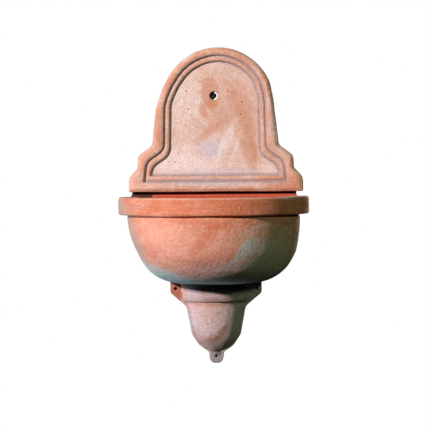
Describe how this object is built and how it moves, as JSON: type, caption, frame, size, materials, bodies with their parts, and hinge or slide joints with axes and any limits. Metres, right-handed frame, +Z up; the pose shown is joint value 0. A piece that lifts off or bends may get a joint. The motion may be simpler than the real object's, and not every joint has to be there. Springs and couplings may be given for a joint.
{
  "type": "garden wall fountain",
  "caption": "Terracotta garden wall fountain: an arched, moulded back panel with a spout hole over a half-round basin on a hollow wall bracket.",
  "frame": {"origin": "in the wall plane, midway between the two screw holes in the bracket's ears", "axes": "+Z up, +Y into the wall, so the fountain faces -Y; +X to the right as seen from the front"},
  "size_m": [0.549, 0.31, 0.9129],
  "materials": {
    "pale_terracotta": "unglazed fired clay, pale pink with a whitish bloom",
    "red_terracotta": "unglazed fired clay, orange red, paler bloom on the bowl",
    "limed_terracotta": "unglazed fired clay under a pale pinkish lime bloom",
    "white_plastic": "moulded, smooth",
    "black_rubber": "matt",
    "grey_plastic": "moulded, satin",
    "steel": "zinc plated",
    "brass": "turned, lightly tarnished"
  },
  "bodies": {
    "root": {"panel": "pale_terracotta", "basin": "red_terracotta", "bracket": "limed_terracotta", "inlet_elbow": "white_plastic", "inlet_gasket": "black_rubber", "inlet_plugs": "grey_plastic", "inlet_screws": "steel", "waste_body": "brass", "waste_top_washer": "black_rubber", "waste_bottom_washer": "black_rubber", "waste_nut": "brass", "standpipe": "grey_plastic", "standpipe_seal": "black_rubber"}
  },
  "joints": []
}
